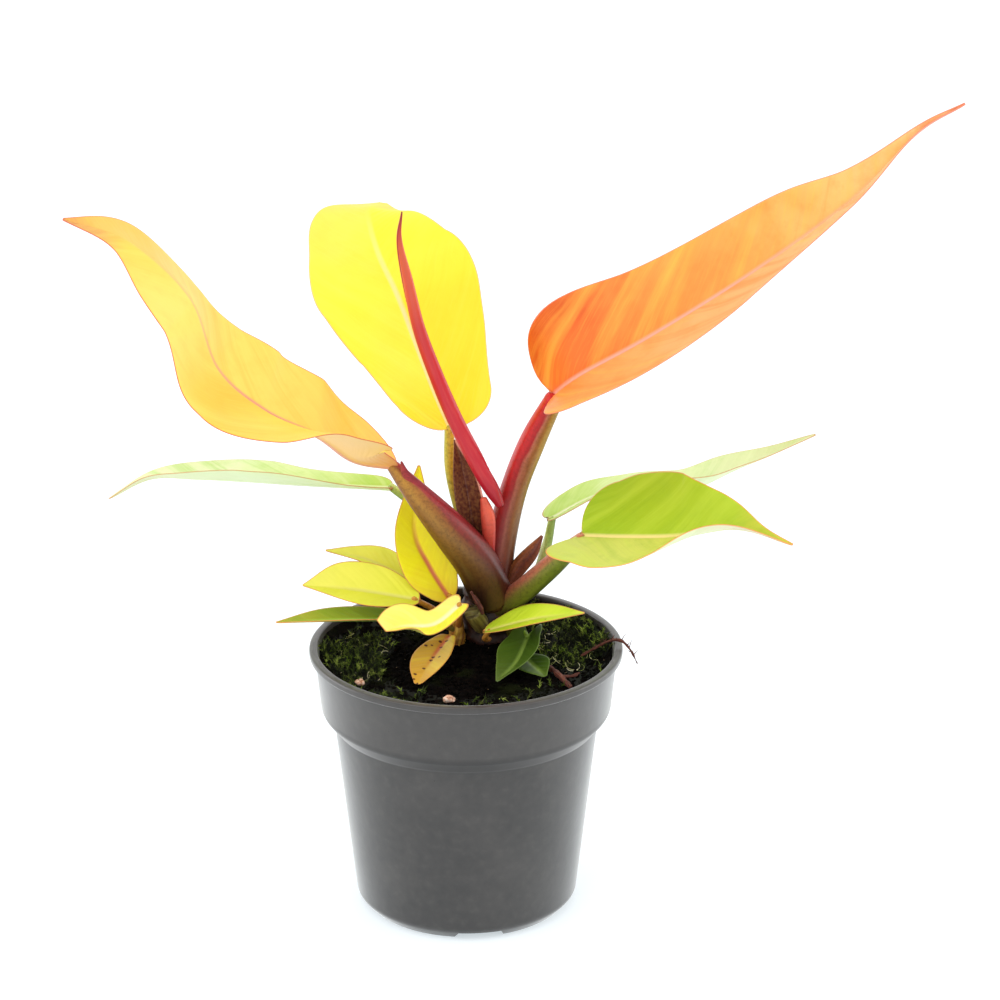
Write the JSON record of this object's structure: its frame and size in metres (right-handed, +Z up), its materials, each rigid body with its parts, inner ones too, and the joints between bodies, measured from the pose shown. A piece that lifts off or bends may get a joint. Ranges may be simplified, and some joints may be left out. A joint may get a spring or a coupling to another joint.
{
  "type": "potted philodendron",
  "caption": "Young self-heading philodendron with orange, amber, yellow, red and lime leaves on fleshy stalks, growing from mossy soil in a round stepped plastic nursery pot.",
  "frame": {"origin": "centre of the pot's underside, on the plane it stands on", "axes": "+Z up out of the pot; +X towards the longest (orange) leaf, which is the viewer's right; -Y towards the viewer"},
  "size_m": [0.3284, 0.1614, 0.3238],
  "materials": {
    "pot_plastic": "matte",
    "soil": "matte",
    "moss": "matte",
    "crown": "satin",
    "orange": "satin",
    "amber": "satin",
    "yellow": "satin",
    "rolled_red": "satin",
    "lime": "satin",
    "pale_right": "satin",
    "pale_left": "satin",
    "stalk_red": "satin",
    "stalk_brown": "satin",
    "stalk_green": "satin",
    "small_gold": "satin",
    "small_yellow": "satin",
    "small_green": "satin",
    "dry_stem": "matte",
    "grit": "matte"
  },
  "bodies": {
    "root": {"grit_front": "grit", "grit_left": "grit", "grit_right": "grit", "leaf_amber": "amber", "leaf_lime": "lime", "leaf_orange": "orange", "leaf_pale_left": "pale_left", "leaf_pale_right": "pale_right", "leaf_rolled_red": "rolled_red", "leaf_small_back_left": "small_yellow", "leaf_small_dark_green": "small_green", "leaf_small_folded": "small_yellow", "leaf_small_green_left": "small_green", "leaf_small_green_under": "small_green", "leaf_small_left": "small_yellow", "leaf_small_lime_right": "small_yellow", "leaf_small_spotted": "small_gold", "leaf_small_upright": "small_gold", "leaf_yellow": "yellow", "main_stem": "crown", "moss_front": "moss", "moss_left": "moss", "moss_right": "moss", "nursery_pot": "pot_plastic", "offshoot_stem": "dry_stem", "potting_soil": "soil", "root_1": "dry_stem", "root_2": "dry_stem", "root_3": "dry_stem", "root_4": "dry_stem", "root_over_rim": "dry_stem", "sheath_brown": "dry_stem", "stalk_amber": "stalk_brown", "stalk_lime": "stalk_green", "stalk_orange": "stalk_red", "stalk_pale_left": "stalk_green", "stalk_pale_right": "stalk_green", "stalk_rolled_red": "stalk_red", "stalk_yellow": "stalk_brown", "stub_old_stem": "dry_stem", "twig_front": "dry_stem"}
  },
  "joints": []
}
